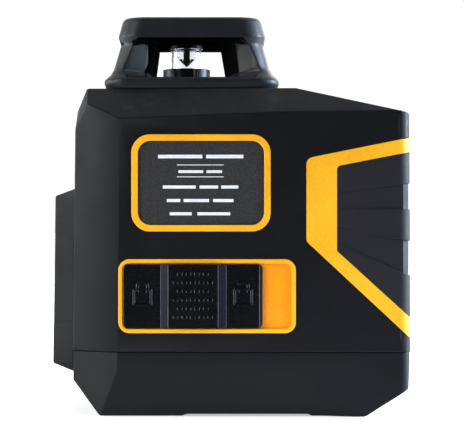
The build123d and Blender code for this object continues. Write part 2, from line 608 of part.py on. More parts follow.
# ---- outside pieces ------------------------------------------------------------------------
chevron_trim, rear_grip, inlay_space = make_rear_pieces()
save("upper_housing", make_upper_housing(inlay_space))
save("base_housing", make_base_housing())
save("head_cage", make_head_cage())
save("chevron_trim", chevron_trim)
save("rear_grip", rear_grip)
save("front_bezel", make_front_bezel())
save("front_window", block(*GLASS_X, *GLASS_Y, *GLASS_Z))
save("foot_pads", Compound(children=make_pads()))

label_outer = side_plate(*LABEL_X, *LABEL_Z, LABEL_R, -HALF_Y - FRAME_PROUD, -HALF_Y + LABEL_DEEP)
label_space = side_plate(
    LABEL_X[0] + LABEL_BORDER, LABEL_X[1] - LABEL_BORDER, LABEL_Z[0] + LABEL_BORDER,
    LABEL_Z[1] - LABEL_BORDER, LABEL_INNER_R, -HALF_Y - 2, -HALF_Y + LABEL_DEEP,
)
label_frame = label_outer - label_space
save("label_frame", fillet(label_frame.edges().group_by(Axis.Y)[0], 0.35))
save("label_plate", label_space & block(-60, 60, -HALF_Y + LABEL_PLATE_DEEP, -30, 50, 100))

# ---- lock and brake ------------------------------------------------------------------------
save("lock_frame", make_lock_frame())
lock_slider = make_lock_slider()
for x, z in SLIDER_SCREWS:
    lock_slider -= rod_y(SLIDER_SCREW_R, x, -34, -30, z)
save("lock_slider", lock_slider)
carriage = make_carriage()
save("slider_carriage", carriage)
screws = []
for x, z in SLIDER_SCREWS:
    screws.append(
        rod_y(SLIDER_SCREW_R, x, -34, -CARRIAGE_Y[0], z) + rod_y(1.4, x, -CARRIAGE_Y[0], -28.2, z)
    )
save("slider_screws", Compound(children=screws))
save("brake_guide", make_brake_guide())
save("brake_plunger", make_brake_plunger())
brake_ball = Pos(AXIS_X, 0, PIVOT_Z) * Sphere(SEAT_SPHERE_R + BRAKE_GAP)
save("brake_pad", rod_z(PLUNGER_R, AXIS_X, 0, PAD_FOOT_Z, 36) - brake_ball)

# ---- gimbal --------------------------------------------------------------------------------
save("gimbal_bracket", make_gimbal_bracket())
save("outer_bearings", Compound(children=[bearing_along_x(AXIS_X + x) for x in (-21, 21)]))
save("gimbal_ring", make_gimbal_ring())
outer_pins = [
    rod_x(PIN_R, AXIS_X + RING_IN, AXIS_X + 22.6, 0, PIVOT_Z),
    rod_x(PIN_R, AXIS_X - 22.6, AXIS_X - RING_IN, 0, PIVOT_Z),
]
save("outer_pivot_pins", Compound(children=outer_pins))
save("inner_bearings", Compound(children=[bearing_along_y(y) for y in (-15, 15)]))

# ---- pendulum ------------------------------------------------------------------------------
save("pendulum_frame", make_pendulum_frame())
inner_pins = [
    rod_y(PIN_R, AXIS_X, BARREL_R, 16.6, PIVOT_Z),
    rod_y(PIN_R, AXIS_X, -16.6, -BARREL_R, PIVOT_Z),
]
save("inner_pivot_pins", Compound(children=inner_pins))
save("circle_laser_barrel", rod_z(BARREL_R, AXIS_X, 0, 80, BARREL_TOP))
save("lens_collar", make_collar())
glass = rod_z(TUBE_R, AXIS_X, 0, COLLAR_TOP, TUBE_TOP)
save("glass_tube", glass - rod_z(TUBE_R - TUBE_WALL, AXIS_X, 0, COLLAR_TOP - 1, TUBE_TOP + 1))
save("cone_mirror", make_cone_mirror())
save("mirror_cap", rod_z(TUBE_R + 0.2, AXIS_X, 0, TUBE_TOP, TUBE_TOP + 1.3))
line_lens = rod_y(2.5, LENS_X, -4.5, 4.5, LINE_Z)
save("line_lens", line_lens)
save("line_laser_barrel", rod_x(BARREL_R, LENS_X, AXIS_X + 11, 0, LINE_Z) - line_lens)
save("counterweight", block(AXIS_X + 12, AXIS_X + 12 + BALANCE_THICK, -9, 9, 46, 66))
save("damping_disc", rod_z(DISC_R, AXIS_X, 0, *DISC_Z))
seat_ball = Pos(AXIS_X, 0, PIVOT_Z) * Sphere(SEAT_SPHERE_R)
save("brake_seat", rod_z(7, AXIS_X, 0, 32, DISC_Z[0]) & seat_ball)
yoke_top = YOKE_Z + YOKE_THICK
yoke = rod_z(YOKE_R, AXIS_X, 0, YOKE_Z, yoke_top) - rod_z(PLUNGER_R + 1, AXIS_X, 0, YOKE_Z - 1, yoke_top + 1)
save("magnet_yoke", yoke)
magnet = rod_z(MAGNET_R, AXIS_X + MAGNET_RING_R, 0, yoke_top, yoke_top + MAGNET_LONG)
save("damping_magnets", Compound(children=around(magnet, (45, 135, 225, 315))))

# ---- keypad --------------------------------------------------------------------------------
panel = block(*KEYPAD_X, *KEYPAD_Y, -KEYPAD_THICK, 0)
for y in KEY_YS:
    panel -= block(*HOLE_X, y - HOLE_HALF, y + HOLE_HALF, -9, 9)
panel -= rod_z(LAMP_R, LAMP_X, LAMP_Y, -9, 9)
save("keypad_panel", along_slope(panel))
for name, y in zip(("line_key", "circle_key", "pulse_key"), KEY_YS):
    key = plan_plate(*KEY_X, y - KEY_HALF, y + KEY_HALF, -3.4, -0.1, 0.8)
    save(name, along_slope(key))
save("indicator_lens", along_slope(rod_z(LAMP_R, LAMP_X, LAMP_Y, -WALL, 0)))
key_board = block(-11, 11, -20, 20, -7.2, -6)
for y in KEY_YS:
    key_board += block(-4, 1, y - 2.5, y + 2.5, -6, -4.4)
save("key_board", along_slope(key_board))

# ---- electronics ---------------------------------------------------------------------------
board = block(*BOARD_X, BOARD_Y, BOARD_Y + BOARD_THICK, *BOARD_Z)
board += block(-20, -8, BOARD_Y - 1.2, BOARD_Y, 48, 60) + block(-2, 6, BOARD_Y - 2, BOARD_Y, 62, 76)
save("main_board", board)
socket = around_socket(4.5, 1.7, BOARD_Y + BOARD_THICK, 34.4) - around_socket(4.1, 1.3, 32, 36)
socket += around_socket(3.3, 0.35, 32, 34.0)
save("charging_socket", socket)
flap = around_socket(
    FLAP_POCKET_HALF_X - FLAP_GAP, FLAP_POCKET_HALF_Z - FLAP_GAP,
    HALF_Y - FLAP_POCKET_DEEP + 0.4, HALF_Y + FLAP_PROUD,
)
save("port_flap", fillet(flap.edges().filter_by(Axis.Y), 1.2))
cells = [rod_z(CELL_R, CELL_X, y, *CELL_Z) for y in CELL_YS]
save("battery_cells", Compound(children=cells))
holder = block(CELL_X - 11, CELL_X + 11, -21, 21, CELL_Z[0] - 4, CELL_Z[0] + 5)
holder += block(CELL_X - 12.5, CELL_X - 10.5, -21, 21, CELL_Z[0] - 4, CELL_Z[1])
for y in CELL_YS:
    holder -= rod_z(CELL_R, CELL_X, y, CELL_Z[0] - 0.5, CELL_Z[1] + 5)
save("battery_holder", holder)
tabs = [rod_z(4, CELL_X, y, CELL_Z[1], CELL_Z[1] + 0.4) for y in CELL_YS]
tabs += [rod_z(4, CELL_X, y, CELL_Z[0] - 0.5, CELL_Z[0]) for y in CELL_YS]
save("battery_contacts", Compound(children=tabs))

# ---- fasteners -----------------------------------------------------------------------------
insert = rod_z(INSERT_R, INSERT_X, 0, RECESS_Z, INSERT_TOP + 1.2)
insert += rod_z(INSERT_R + 2, INSERT_X, 0, INSERT_TOP, INSERT_TOP + 1.2)
insert -= rod_z(THREAD_R, INSERT_X, 0, 0, RECESS_Z + THREAD_LONG)
save("tripod_insert", insert)


def upright_screws(places, head_radius, head_z, shank_z):
    """Screws driven upwards, each with a cross recess under its head."""
    long, short, deep = 0.6 * head_radius, 0.15 * head_radius, 0.5 * (head_z[1] - head_z[0])
    screws = []
    for x, y in places:
        screw = rod_z(head_radius, x, y, *head_z) + rod_z(SCREW_R, x, y, *shank_z)
        for half_x, half_y in ((long, short), (short, long)):
            screw -= block(x - half_x, x + half_x, y - half_y, y + half_y, head_z[0] - 1, head_z[0] + deep)
        screws.append(screw)
    return Compound(children=screws)


roof = TOP_Z - WALL
save("cage_screws", upright_screws(CAGE_SCREWS, SCREW_HEAD_R, (roof - 1.6, roof), (roof, TOP_Z + 3)))
save(
    "bracket_screws",
    upright_screws(BRACKET_SCREWS, SCREW_HEAD_R, (roof - 4.6, roof - 3), (roof - 3, TOP_Z - 0.6)),
)
save("base_screws", upright_screws(BASE_SCREWS, HEAD_R, (HEAD_TOP_Z - 1.8, HEAD_TOP_Z), (HEAD_TOP_Z, 32)))
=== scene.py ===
import json
import math

import bmesh
import bpy
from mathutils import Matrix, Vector


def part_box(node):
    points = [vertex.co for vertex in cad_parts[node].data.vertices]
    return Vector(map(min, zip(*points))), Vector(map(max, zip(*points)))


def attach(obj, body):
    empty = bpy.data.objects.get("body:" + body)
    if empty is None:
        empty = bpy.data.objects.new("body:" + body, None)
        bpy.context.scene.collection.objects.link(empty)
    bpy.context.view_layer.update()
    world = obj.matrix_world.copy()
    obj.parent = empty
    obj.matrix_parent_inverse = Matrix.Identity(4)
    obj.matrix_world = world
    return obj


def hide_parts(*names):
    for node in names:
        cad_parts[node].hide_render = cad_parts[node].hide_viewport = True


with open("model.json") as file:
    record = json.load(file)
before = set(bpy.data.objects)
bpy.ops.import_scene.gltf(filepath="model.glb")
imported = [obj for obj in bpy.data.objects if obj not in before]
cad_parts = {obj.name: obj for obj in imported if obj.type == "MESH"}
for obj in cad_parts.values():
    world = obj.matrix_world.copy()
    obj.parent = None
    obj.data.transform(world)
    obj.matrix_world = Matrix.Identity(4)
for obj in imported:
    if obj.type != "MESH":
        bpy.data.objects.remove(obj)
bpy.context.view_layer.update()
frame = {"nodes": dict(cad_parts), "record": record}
NODES = frame["nodes"]
BODIES = frame["record"]["behaviour"]["bodies"]
BODY_OF = {node: body for body, nodes in BODIES.items() for node in nodes}
MM = 0.001

# places on the CAD model, in mm
FACE_Y = -36.0  # side face with the label and the lock
SLOPE_DEG = 13.1  # pitch of the keypad face
WELL_X = -15.1  # axis of the round space in the cage
WELL_REACH = 21.5  # how far the walls of that space lie from the axis
OVERHANG_REACH = 30.0  # how far its ceiling and overhangs reach
WELL_FOOT_Z = 113.5
SLIDER_FACETS = ((-23.5, -21.4), (-4.4, -2.1))  # x ranges of the slider's two slants

# ---- finishes ------------------------------------------------------------------------------
WAVE_STEP = 0.05  # a wave texture of scale 1 turns by one radian in this length


class Finish:
    """A procedural material, put together from a few kinds of node. Lengths are millimetres."""

    def __init__(self, name, roughness=0.5, metallic=0.0, specular=0.5, **constants):
        self.material = bpy.data.materials.new(name)
        self.material.use_nodes = True
        self.tree = self.material.node_tree
        self.shader = self.tree.nodes["Principled BSDF"]
        self.place = self.tree.nodes.new("ShaderNodeTexCoord").outputs["Object"]
        self.set(roughness=roughness, metallic=metallic, specular_ior_level=specular, **constants)
        self.normal = None

    def set(self, **constants):
        for name, value in constants.items():
            socket = name.replace("_", " ").title().replace("Ior", "IOR")
            self.shader.inputs[socket].default_value = value

    def node(self, kind, inputs, **settings):
        made = self.tree.nodes.new("ShaderNode" + kind)
        for name, value in settings.items():
            setattr(made, name, value)
        for name, value in inputs.items():
            socket = made.inputs[name]
            if isinstance(value, bpy.types.NodeSocket):
                self.tree.links.new(value, socket)
            else:
                socket.default_value = value
        return made

    def stretched(self, factors, turn=(0, 0, 0)):
        """Object coordinates scaled along each axis, for brushed and moulded-in grain."""
        turned = [math.radians(angle) for angle in turn]
        mapping = {"Vector": self.place, "Scale": factors, "Rotation": turned}
        return self.node("Mapping", mapping).outputs["Vector"]

    def noise(self, size, detail=3.0, roughness=0.55, place=None):
        inputs = {
            "Vector": place or self.place, "Scale": 1 / (size * MM),
            "Detail": detail, "Roughness": roughness,
        }
        return self.node("TexNoise", inputs).outputs["Fac"]

    def cells(self, size):
        inputs = {"Vector": self.place, "Scale": 1 / (size * MM)}
        return self.node("TexVoronoi", inputs).outputs["Distance"]

    def waves(self, size, direction, place=None):
        """Straight bands, one per size along the direction."""
        inputs = {"Vector": place or self.place, "Scale": WAVE_STEP / (size * MM) * 2 * math.pi}
        return self.node("TexWave", inputs, bands_direction=direction).outputs["Fac"]

    def spread(self, value, low, high, to_low=0.0, to_high=1.0):
        inputs = {
            "Value": value, "From Min": low, "From Max": high, "To Min": to_low, "To Max": to_high,
        }
        return self.node("MapRange", inputs).outputs["Result"]

    def maths(self, operation, *values):
        made = self.tree.nodes.new("ShaderNodeMath")
        made.operation = operation
        for socket, value in zip(made.inputs, values):
            if isinstance(value, bpy.types.NodeSocket):
                self.tree.links.new(value, socket)
            else:
                socket.default_value = value
        return made.outputs[0]

    def mix(self, share, one, other):
        made = self.tree.nodes.new("ShaderNodeMix")
        made.data_type = "RGBA"
        sockets = (made.inputs[0], made.inputs[6], made.inputs[7])
        for socket, value in zip(sockets, (share, one, other)):
            if isinstance(value, bpy.types.NodeSocket):
                self.tree.links.new(value, socket)
            else:
                socket.default_value = value if isinstance(value, float) else (*value[:3], 1)
        return made.outputs[2]

    def upward(self, low=0.2, high=1.0):
        normal = self.node("NewGeometry", {}).outputs["Normal"]
        return self.spread(self.node("SeparateXYZ", {"Vector": normal}).outputs["Z"], low, high)

    def colour(self, value):
        self.tree.links.new(value, self.shader.inputs["Base Color"])

    def rough(self, value):
        self.tree.links.new(value, self.shader.inputs["Roughness"])

    def bump(self, height, depth, strength=1.0):
        inputs = {"Height": height, "Distance": depth * MM, "Strength": strength}
        if self.normal:
            inputs["Normal"] = self.normal
        self.normal = self.node("Bump", inputs).outputs["Normal"]
        self.tree.links.new(self.normal, self.shader.inputs["Normal"])


def shade(colour, factor):
    return tuple(min(1.0, channel * factor) for channel in colour)


def moulded(
    name, colour, roughness, grain=0.35, depth=0.02, specular=0.5, dust=0.1, flecks=0.0, **constants
):
    """Moulded plastic or rubber: spark-eroded grain, flow mottling, handling sheen, light dust."""
    finish = Finish(name, specular=specular, **constants)
    mottle = finish.spread(finish.noise(16, 4), 0.35, 0.68)
    speck = finish.spread(finish.noise(grain, 2), 0.36, 0.66)
    base = finish.mix(mottle, shade(colour, 0.88), shade(colour, 1.1))
    base = finish.mix(finish.maths("MULTIPLY", speck, 0.3), base, shade(colour, 1.6))
    if flecks:
        fleck = finish.spread(finish.cells(grain * 1.7), 0.0, 0.28, flecks, 0.0)
        base = finish.mix(fleck, base, shade(colour, 4.5))
    patches = finish.spread(finish.noise(7, 6, 0.7), 0.52, 0.75)
    settled = finish.maths("MULTIPLY", patches, finish.upward())
    base = finish.mix(finish.maths("MULTIPLY", settled, dust), base, (0.35, 0.34, 0.32))
    finish.colour(base)
    sheen = finish.spread(finish.noise(11, 5, 0.65), 0.3, 0.7, roughness - 0.06, roughness + 0.07)
    finish.rough(finish.maths("ADD", sheen, finish.spread(speck, 0, 1, -0.03, 0.04)))
    finish.bump(finish.noise(9, 3), depth * 2.0, 0.25)
    finish.bump(finish.noise(grain, 3, 0.6), depth)
    return finish.material


def metal(name, colour, roughness, grain=(1, 1, 1), grain_size=0.5, depth=0.004, tarnish=None):
    """Machined, cast or plated metal with tool marks, tarnish and finger marks."""
    finish = Finish(name, metallic=1.0)
    marks = finish.noise(grain_size, 4, 0.6, finish.stretched(grain))
    stain = finish.spread(finish.noise(5, 5, 0.65), 0.45, 0.72)
    base = finish.mix(finish.spread(marks, 0.3, 0.7), shade(colour, 0.8), shade(colour, 1.1))
    base = finish.mix(finish.maths("MULTIPLY", stain, 0.35), base, tarnish or shade(colour, 0.5))
    finish.colour(base)
    worn = finish.spread(finish.noise(3, 4), 0.3, 0.7, roughness * 0.75, roughness * 1.3)
    finish.rough(finish.maths("ADD", worn, finish.spread(marks, 0.3, 0.7, -0.02, 0.05)))
    finish.bump(marks, depth)
    return finish.material


def glass(name, tint, roughness=0.02, smears=0.08, ior=1.46):
    finish = Finish(name, transmission_weight=1.0, ior=ior)
    film = finish.spread(finish.noise(4, 5, 0.7, finish.stretched((1, 1, 0.35))), 0.5, 0.8)
    finish.colour(finish.mix(film, tint, shade(tint, 0.9)))
    specks = finish.spread(finish.cells(1.6), 0.0, 0.05, 0.25, 0.0)
    finish.rough(finish.maths("ADD", specks, finish.maths("MULTIPLY_ADD", film, smears, roughness)))
    finish.bump(finish.noise(6, 2), 0.002, 0.3)
    return finish.material


def fibre_board(name):
    """Green solder mask with buried copper runs, vias and pale pads."""
    finish = Finish(name, specular=0.6)
    mask, copper = (0.004, 0.06, 0.025), (0.012, 0.13, 0.05)
    runs_x = finish.spread(finish.waves(1.1, "X"), 0.62, 0.7)
    runs_z = finish.spread(finish.waves(0.9, "Z"), 0.62, 0.7)
    zones = finish.spread(finish.noise(7, 1), 0.5, 0.51)
    runs = finish.maths("ADD", finish.maths("MULTIPLY", runs_x, zones),
                        finish.maths("MULTIPLY", runs_z, finish.maths("SUBTRACT", 1.0, zones)))
    base = finish.mix(runs, mask, copper)
    vias = finish.spread(finish.cells(2.4), 0.12, 0.15, 1.0, 0.0)
    base = finish.mix(vias, base, (0.55, 0.45, 0.2))
    shadow = finish.spread(finish.noise(10, 4), 0.4, 0.8, 0, 0.3)
    finish.colour(finish.mix(shadow, base, (0.02, 0.05, 0.03)))
    finish.rough(finish.spread(finish.noise(3, 4), 0.3, 0.7, 0.28, 0.42))
    finish.bump(finish.maths("MAXIMUM", runs, vias), 0.03)
    return finish.material


def speckled_label(name):
    """Dark foil label: blasted surface with pale metallic specks."""
    finish = Finish(name, specular=0.3, metallic=0.15)
    fine = finish.spread(finish.noise(0.42, 2, 0.7), 0.42, 0.62)
    coarse = finish.spread(finish.cells(0.75), 0.05, 0.35, 1.0, 0.0)
    base = finish.mix(fine, (0.016, 0.016, 0.017), (0.042, 0.042, 0.043))
    base = finish.mix(finish.maths("MULTIPLY", coarse, 0.35), base, (0.1, 0.1, 0.1))
    cloud = finish.spread(finish.noise(14, 4), 0.4, 0.7, 0, 0.3)
    finish.colour(finish.mix(cloud, base, (0.03, 0.03, 0.032)))
    finish.rough(finish.spread(fine, 0, 1, 0.5, 0.62))
    finish.bump(fine, 0.012)
    return finish.material


def rubber_pad(name):
    """Soft foot rubber with a fine moulded diamond tread."""
    finish = Finish(name, specular=0.3)
    diagonal = finish.stretched((1, 1, 1), (0, 0, 45))
    ribs = [finish.waves(1.2, direction, diagonal) for direction in "XY"]
    tread = finish.maths("MINIMUM", *ribs)
    base = finish.mix(finish.noise(6, 4), (0.012, 0.012, 0.012), (0.03, 0.029, 0.028))
    soil = finish.spread(finish.noise(1.5, 5), 0.55, 0.75, 0, 0.3)
    finish.colour(finish.mix(soil, base, (0.1, 0.095, 0.085)))
    finish.rough(finish.spread(finish.noise(2, 3), 0.3, 0.7, 0.7, 0.88))
    finish.bump(tread, 0.15, 0.7)
    finish.bump(finish.noise(0.3, 2), 0.02)
    return finish.material


def wrapped_cell(name):
    """Shrink-wrapped lithium cell: satin film, painted glints, slight wrinkles at the ends."""
    finish = Finish(name, specular=0.5, coat_weight=0.3)
    tone = finish.noise(9, 4, 0.5, finish.stretched((1, 1, 0.3)))
    base = finish.mix(finish.spread(tone, 0.3, 0.7), (0.03, 0.09, 0.3), (0.05, 0.13, 0.38))
    glints = finish.spread(finish.noise(0.8, 3), 0.6, 0.75, 0, 0.25)
    finish.colour(finish.mix(glints, base, (0.1, 0.2, 0.45)))
    finish.rough(finish.spread(finish.noise(2.5, 4), 0.3, 0.7, 0.3, 0.42))
    finish.bump(finish.noise(2.2, 3, 0.5, finish.stretched((1, 1, 0.15))), 0.05, 0.5)
    return finish.material


def printed(name, colour):
    """Pad-printed ink: slightly thin at places, with a matt skin."""
    finish = Finish(name, specular=0.3)
    thin = finish.spread(finish.noise(0.5, 3), 0.55, 0.75, 0.0, 0.45)
    finish.colour(finish.mix(thin, colour, shade(colour, 0.55)))
    finish.rough(finish.spread(finish.noise(0.8, 3), 0.3, 0.7, 0.45, 0.65))
    finish.bump(finish.noise(0.3, 2), 0.004)
    return finish.material


# ---- the finishes by name --------------------------------------------------------------------
MOULDED = {
    "shell_plastic": dict(
        colour=(0.0046, 0.0049, 0.0065), roughness=0.45, grain=0.42,
        specular=0.16, dust=0.06, flecks=0.05,
    ),
    "cage_plastic": dict(
        colour=(0.0088, 0.0093, 0.0118), roughness=0.4, grain=0.3, depth=0.018,
        specular=0.3, dust=0.05,
    ),
    # painted shade: a darker black without gloss for the walls, ceiling and overhangs round the
    # lens
    "cage_painted_shade": dict(
        colour=(0.003, 0.003, 0.0035), roughness=0.62, grain=0.3, specular=0.0, dust=0.02,
    ),
    "yellow_trim": dict(
        colour=(0.98, 0.41, 0.01), roughness=0.42, grain=0.5, depth=0.012, specular=0.35, dust=0.04,
    ),
    "lock_tray": dict(
        colour=(0.96, 0.29, 0.002), roughness=0.45, grain=0.5, depth=0.015, specular=0.3, dust=0.04,
    ),
    "grip_rubber": dict(
        colour=(0.0068, 0.0074, 0.0096), roughness=0.6, grain=0.26, depth=0.03,
        specular=0.3, flecks=0.04,
    ),
    "switch_plastic": dict(
        colour=(0.0035, 0.0037, 0.0048), roughness=0.26, grain=0.6, depth=0.003,
        specular=0.1, dust=0.02,
    ),
    # painted highlight: a light grey for the slider's rounded edges, where light catches them
    "switch_edge_highlight": dict(
        colour=(0.1, 0.105, 0.125), roughness=0.3, grain=0.6, depth=0.003, specular=0.5, dust=0.03,
    ),
    # painted highlight: a lighter black for the slider's two slants, which catch the light
    "switch_facet_highlight": dict(
        colour=(0.013, 0.014, 0.021), roughness=0.3, grain=0.6, depth=0.003,
        specular=0.1, dust=0.03,
    ),
    "lamp_plastic": dict(
        colour=(0.05, 0.32, 0.1), roughness=0.25, grain=0.6, depth=0.01, dust=0.02, coat_weight=0.4,
    ),
    # painted highlight: light grey in the slots round the lens collar, for the bright stripes they
    # show
    "slot_painted_highlight": dict(
        colour=(0.26, 0.26, 0.25), roughness=0.5, grain=0.4, depth=0.01, specular=0.3,
    ),
    "inner_plastic": dict(
        colour=(0.03, 0.031, 0.034), roughness=0.5, grain=0.5, depth=0.015, dust=0.05,
    ),
    "key_plastic": dict(
        colour=(0.022, 0.023, 0.026), roughness=0.55, grain=0.3, depth=0.015, specular=0.35,
    ),
}
METALS = {
    "cast_frame": dict(
        colour=(0.55, 0.56, 0.58), roughness=0.48, grain_size=0.7, depth=0.03,
        tarnish=(0.3, 0.3, 0.31),
    ),
    "steel": dict(colour=(0.62, 0.62, 0.63), roughness=0.22, grain=(1, 1, 9), grain_size=0.6),
    "magnet_nickel": dict(colour=(0.66, 0.63, 0.57), roughness=0.16, grain_size=1.2, depth=0.002),
    "brass": dict(
        colour=(0.72, 0.5, 0.2), roughness=0.28, grain=(1, 1, 8), grain_size=0.7,
        tarnish=(0.3, 0.2, 0.09),
    ),
    "black_aluminium": dict(
        colour=(0.022, 0.022, 0.024), roughness=0.34, grain=(1, 1, 12), tarnish=(0.05, 0.05, 0.052),
    ),
    "mirror_coat": dict(
        colour=(0.9, 0.91, 0.93), roughness=0.05, grain=(1, 1, 10), grain_size=0.9, depth=0.0006,
    ),
    "copper": dict(
        colour=(0.8, 0.38, 0.22), roughness=0.3, grain_size=0.8, tarnish=(0.35, 0.14, 0.08),
    ),
}
FINISH = {
    "pad_rubber": rubber_pad("pad_rubber"),
    "clear_glass": glass("clear_glass", (0.96, 0.98, 1.0)),
    "tinted_glass": glass("tinted_glass", (0.17, 0.2, 0.24), smears=0.05),
    "cone_glass": glass("cone_glass", (0.93, 0.95, 1.0), ior=1.05),
    "label_plastic": speckled_label("label_plastic"),
    "circuit_board": fibre_board("circuit_board"),
    "cell_wrap": wrapped_cell("cell_wrap"),
    "white_print": printed("white_print", (0.82, 0.82, 0.82)),
}
FINISH.update({name: moulded(name, **look) for name, look in MOULDED.items()})
FINISH.update({name: metal(name, **look) for name, look in METALS.items()})
SLOT_OF = {part["node"]: part["material_slot"] for part in frame["record"]["subparts"]}
# nodes whose finish differs from that of their slot
SPECIAL = {"front_window": "tinted_glass", "cone_mirror": "cone_glass"}

# ---- the CAD pieces: crisp facets with softly rounded edges ---------------------------------
ROUNDING = {
    "upper_housing": 0.45, "base_housing": 0.45, "head_cage": 0.4, "front_bezel": 0.35,
    "rear_grip": 0.12, "chevron_trim": 0.14, "label_frame": 0.22, "lock_frame": 0.2,
    "lock_slider": 0.09, "keypad_panel": 0.12, "line_key": 0.25, "circle_key": 0.25,
    "pulse_key": 0.25, "port_flap": 0.25, "foot_pads": 0.25, "label_plate": 0.04,
    "front_window": 0.15, "glass_tube": 0.06, "cone_mirror": 0.03, "mirror_cap": 0.1,
    "lens_collar": 0.15, "damping_magnets": 0.25, "battery_cells": 0.8, "battery_holder": 0.3,
    "pendulum_frame": 0.35, "gimbal_ring": 0.3, "gimbal_bracket": 0.35,
}
OTHER_ROUNDING = 0.1
MERGE = 0.01  # vertices this close are one
FLAT_DEG = 0.6  # faces that meet at less than this are one flat
SHARP_DEG = 24  # edges that turn more than this are rounded
FINE_SHARP_DEG = {"lock_slider": 9}  # its facets are shallow, and still need a soft edge
ROOM = 2.4  # both faces of a rounded edge reach at least this many radii from it
BROAD = {"upper_housing": 6.0, "base_housing": 6.0}  # or, here, this many mm: seats stay crisp
# the rounded edges of these nodes take a lighter finish: a painted highlight along them
EDGE_HIGHLIGHT_FINISH = {"lock_slider": "switch_edge_highlight"}
CROWDED_X = -36.0  # in front of this, the side face's edge stays crisp beside the lock's seat
CREASE_DEG = 40  # rounded pieces are shaded smooth across edges that turn less than this
FLATS_WEIGHT = 80


def reach(face, edge):
    """How far a face spreads from one of its edges."""
    start, end = (vertex.co for vertex in edge.verts)
    along = (end - start).normalized()
    offsets = ((vertex.co - start) for vertex in face.verts)
    return max((offset - along * offset.dot(along)).length for offset in offsets)


def crowded(edge):
    """Whether an edge lies on the front end of the side face, next to the lock's seat."""
    middle = sum((vertex.co for vertex in edge.verts), Vector()) / (2 * MM)
    return middle.y < FACE_Y + 0.1 and middle.x < CROWDED_X


def new_piece(name, grid, finish, body):
    """Turns a bmesh into a piece with the given finish, which rides on a body."""
    mesh = bpy.data.meshes.new(name)
    grid.to_mesh(mesh)
    grid.free()
    mesh.materials.append(finish)
    piece = bpy.data.objects.new(name, mesh)
    bpy.context.collection.objects.link(piece)
    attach(piece, body)
    return piece


def smooth(mesh, sharp_deg):
    """Smooth shading, except across edges that turn more than this."""
    mesh.shade_smooth()
    mesh.set_sharp_from_angle(angle=math.radians(sharp_deg))


def rounded(node, radius, finish):
    """A copy of a CAD node, flats merged and edges rounded, which stands for the node."""
    source = NODES[node]
    sharp = math.radians(FINE_SHARP_DEG.get(node, SHARP_DEG))
    narrowest = BROAD.get(node, ROOM * radius) * MM
    grid = bmesh.new()
    grid.from_mesh(source.data)
    bmesh.ops.remove_doubles(grid, verts=grid.verts, dist=MERGE * MM)
    bmesh.ops.dissolve_limit(
        grid, angle_limit=math.radians(FLAT_DEG), verts=grid.verts, edges=grid.edges,
    )
    edges = [
        edge
        for edge in grid.edges
        if len(edge.link_faces) == 2
        and not (node in BROAD and crowded(edge))
        and edge.calc_face_angle() > sharp
        and min(reach(face, edge) for face in edge.link_faces) > narrowest
    ]
    if edges:
        bmesh.ops.bevel(
            grid, geom=edges, offset=radius * MM, segments=2, profile=0.5, affect="EDGES",
            clamp_overlap=False, loop_slide=True, material=1 if node in EDGE_HIGHLIGHT_FINISH else -1,
        )
    bmesh.ops.recalc_face_normals(grid, faces=grid.faces)
    piece = new_piece(node + "_rounded", grid, finish, BODY_OF[node])
    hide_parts(node)
    # the rounded edges get the painted highlight as a second material
    if node in EDGE_HIGHLIGHT_FINISH:
        piece.data.materials.append(FINISH[EDGE_HIGHLIGHT_FINISH[node]])
    smooth(piece.data, CREASE_DEG)
    flats = piece.modifiers.new("flats", "WEIGHTED_NORMAL")
    flats.keep_sharp = True
    flats.weight = FLATS_WEIGHT
    return piece


PIECES = {}
for node in NODES:
    look = SPECIAL.get(node, SLOT_OF[node])
    PIECES[node] = rounded(node, ROUNDING.get(node, OTHER_ROUNDING), FINISH[look])


def recolour(node, finish, chosen):
    """Gives the faces that the test picks another finish."""
    mesh = PIECES[node].data
    if finish not in mesh.materials:
        mesh.materials.append(FINISH[finish])
    index = mesh.materials.find(finish)
    for face in mesh.polygons:
        if chosen(face.center / MM, face.normal):
            face.material_index = index


STEEP = 0.4  # a face whose normal rises less than this is part of a wall
HANGING = -0.3  # and one whose normal falls below this is part of an overhang


def in_lens_well(at, normal):
    """Walls and ceiling round the lens, blackened and without gloss as painted shade, so that they
    don't glint.
    """
    away = math.hypot(at.x - WELL_X, at.y)
    wall = away < WELL_REACH and normal.z < STEEP
    overhang = away < OVERHANG_REACH and normal.z < HANGING
    return at.z > WELL_FOOT_Z and (wall or overhang)


collar_low, collar_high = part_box("lens_collar")
COLLAR_AXIS = (collar_low + collar_high) / (2 * MM)
COLLAR_RADIUS = (collar_high - collar_low).x / (2 * MM)
SLOT_INSET = (0.3, 1.2)  # how far in from the collar's rim a slot's faces lie
UPRIGHT = 0.3  # the most that the normal of an upright face leans up or down


def in_collar_slot(at, normal):
    """The floor and sides of the light slots round the lens collar: their light grey is a painted
    highlight.
    """
    inset = COLLAR_RADIUS - math.hypot(at.x - COLLAR_AXIS.x, at.y - COLLAR_AXIS.y)
    return SLOT_INSET[0] < inset < SLOT_INSET[1] and abs(normal.z) < UPRIGHT


SLANT = (0.15, 0.9)  # how much the normal of a slant points along X


def on_slider_facet(at, normal):
    """The two wide slants beside the raised middle of the slider, which get a lighter black as a
    painted highlight.
    """
    slanted = SLANT[0] < abs(normal.x) < SLANT[1]
    return slanted and any(low < at.x < high for low, high in SLIDER_FACETS)


TRAY_Y = FACE_Y + 0.4


def in_lock_tray(at, normal):
    """The sunk part of the lock frame, behind its rim."""
    return at.y > TRAY_Y


LEVEL = 0.2  # the least that the normal of a level edge points up or down


def faces_up_or_down(at, normal):
    """The slider's level edges, which keep the black finish: only its upright edges keep the light
    grey of the painted highlight.
    """
    return abs(normal.z) > LEVEL


